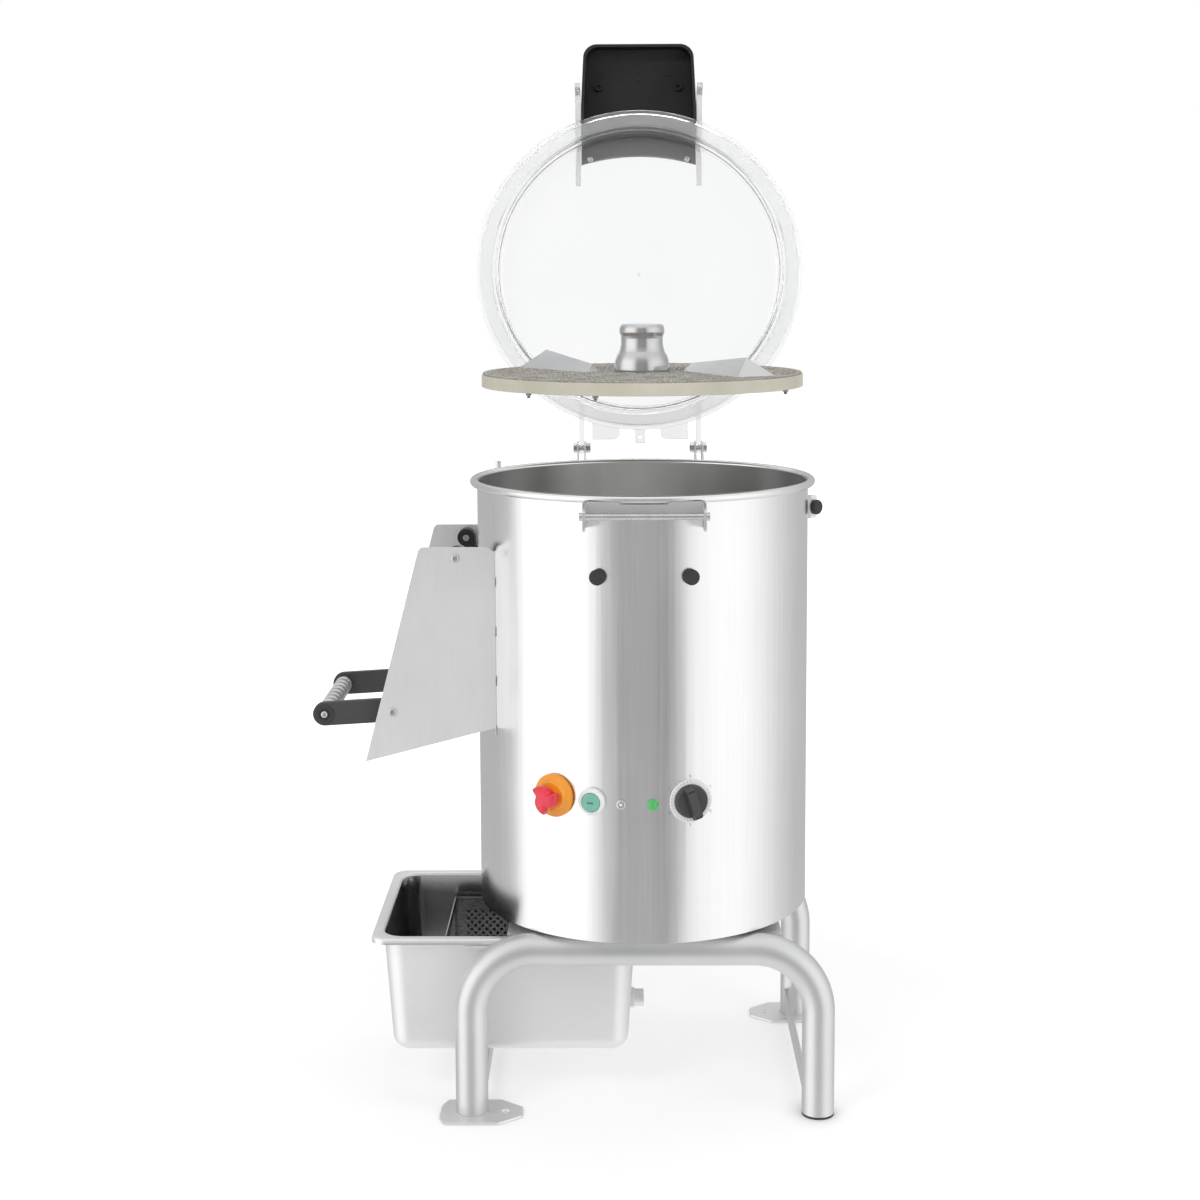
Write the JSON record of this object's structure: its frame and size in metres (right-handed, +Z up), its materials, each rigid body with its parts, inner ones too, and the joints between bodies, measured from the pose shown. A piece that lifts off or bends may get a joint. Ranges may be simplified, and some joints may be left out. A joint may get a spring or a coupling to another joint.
{
  "type": "electric potato peeler",
  "caption": "Floor-standing electric potato peeler: open steel drum on a tube stand, clear hinged lid, lift-out abrasive disc, discharge chute with lever door, controls and peel pan.",
  "frame": {"origin": "on the floor under the drum's axis, in the middle of the two floor bolts", "axes": "+Z up along the drum's axis, -Y towards the operator at the control side, -X towards the discharge chute"},
  "size_m": [0.6318, 0.6249, 1.2899],
  "materials": {
    "satin_tube": "satin",
    "steel_sheet": "brushed",
    "drum_steel": "vertically brushed",
    "pan_steel": "satin",
    "bolt_steel": "zinc bright",
    "shaft_steel": "ground",
    "cast_grey": "hammered",
    "motor_paint": "satin",
    "black_rubber": "matt",
    "black_plastic": "satin",
    "clear_plastic": "clear",
    "cream_disc": "satin",
    "grit": "rough abrasive",
    "hub_aluminium": "turned",
    "yellow_plastic": "gloss",
    "red_plastic": "gloss",
    "white_plastic": "gloss",
    "teal_plastic": "translucent gloss",
    "lamp_green": "translucent gloss",
    "dial_silver": "printed satin",
    "grip_ribbed": "ribbed satin",
    "grey_plastic": "satin"
  },
  "bodies": {
    "main": {"front_leg_frame": "satin_tube", "rear_leg_frame": "satin_tube", "side_rails": "satin_tube", "foot_plates": "steel_sheet", "foot_caps": "black_rubber", "base_tray": "steel_sheet", "pan_runners": "steel_sheet", "drum_shell": "drum_steel", "drum_base": "steel_sheet", "base_bolts": "bolt_steel", "chamber_floor": "steel_sheet", "drain_pipe": "steel_sheet", "bearing_housing": "cast_grey", "shaft_bearings": "shaft_steel", "shaft_seal": "black_rubber", "motor_body": "motor_paint", "drive_belt": "black_rubber", "chute_sides": "steel_sheet", "chute_floor": "steel_sheet", "door_hinge_rod": "bolt_steel", "chute_screws": "bolt_steel", "latch_bracket": "steel_sheet", "latch_rod": "bolt_steel", "front_bumpers": "black_rubber", "rim_brackets": "steel_sheet", "side_bumper": "black_rubber", "hinge_brackets": "steel_sheet", "hinge_bolts": "bolt_steel", "water_inlet": "bolt_steel", "estop_base": "yellow_plastic", "start_bezel": "white_plastic", "indicator_lamps": "lamp_green", "timer_dial": "dial_silver", "switch_bodies": "grey_plastic", "cable_gland": "grey_plastic"},
    "shaft": {"main_shaft": "shaft_steel", "driven_pulley": "cast_grey"},
    "motor_shaft": {"motor_rotor": "shaft_steel"},
    "disc": {"disc_plate": "cream_disc", "abrasive_top": "grit", "disc_hub": "hub_aluminium", "disc_paddles": "steel_sheet", "disc_screws": "bolt_steel"},
    "lid": {"lid_dome": "clear_plastic", "lid_handle": "black_plastic", "lid_catch_arms": "clear_plastic", "lid_hinge_arms": "clear_plastic", "handle_screws": "bolt_steel"},
    "door": {"door_panel": "steel_sheet", "door_gasket": "black_rubber", "door_arms": "black_plastic"},
    "lever": {"lever_arms": "black_plastic", "lever_grip": "grip_ribbed", "lever_bolts": "bolt_steel"},
    "stop_head": {"estop_button": "red_plastic"},
    "start_cap": {"start_button": "teal_plastic"},
    "timer": {"timer_knob": "black_plastic"},
    "pan": {"peel_pan": "pan_steel", "strainer": "pan_steel", "pan_drain": "bolt_steel"}
  },
  "joints": [
    {"name": "shaft_spin", "type": "hinge", "parent": "main", "child": "shaft", "pos_m": [0, 0, 0.36], "axis": [0, 0, 1], "continuous": true},
    {"name": "motor_spin", "type": "hinge", "parent": "main", "child": "motor_shaft", "pos_m": [0, 0.118, 0.26], "axis": [0, 0, 1], "continuous": true},
    {"name": "lid_hinge", "type": "hinge", "parent": "main", "child": "lid", "pos_m": [0, 0.243, 0.748], "axis": [1, 0, 0], "range_deg": [0, 104]},
    {"name": "disc_lift", "type": "slide", "parent": "shaft", "child": "disc", "axis": [0, 0, 1], "range_m": [-0.4052, 0]},
    {"name": "lever_hinge", "type": "hinge", "parent": "main", "child": "lever", "pos_m": [-0.296, 0, 0.469], "axis": [0, -1, 0], "range_deg": [0, 42]},
    {"name": "door_hinge", "type": "hinge", "parent": "main", "child": "door", "pos_m": [-0.22, 0, 0.652], "axis": [0, 1, 0], "range_deg": [0, 38]},
    {"name": "stop_push", "type": "slide", "parent": "main", "child": "stop_head", "axis": [0.512, 0.859, 0], "range_m": [0, 0.004]},
    {"name": "start_push", "type": "slide", "parent": "main", "child": "start_cap", "axis": [0.2957, 0.9553, 0], "range_m": [0, 0.003], "stiffness_N_per_m": 500},
    {"name": "timer_turn", "type": "hinge", "parent": "main", "child": "timer", "pos_m": [0.05176, -0.19318, 0.388], "axis": [-0.2588, 0.9659, 0], "range_deg": [0, 300]},
    {"name": "pan_slide", "type": "slide", "parent": "main", "child": "pan", "axis": [-1, 0, 0], "range_m": [0, 0.33]}
  ],
  "couplings": [
    {"joint": "motor_spin", "follows": "shaft_spin", "ratio": 3.018},
    {"joint": "disc_lift", "follows": "lid_hinge", "m_per_rad": -0.2231},
    {"joint": "door_hinge", "follows": "lever_hinge", "ratio": 0.9}
  ]
}
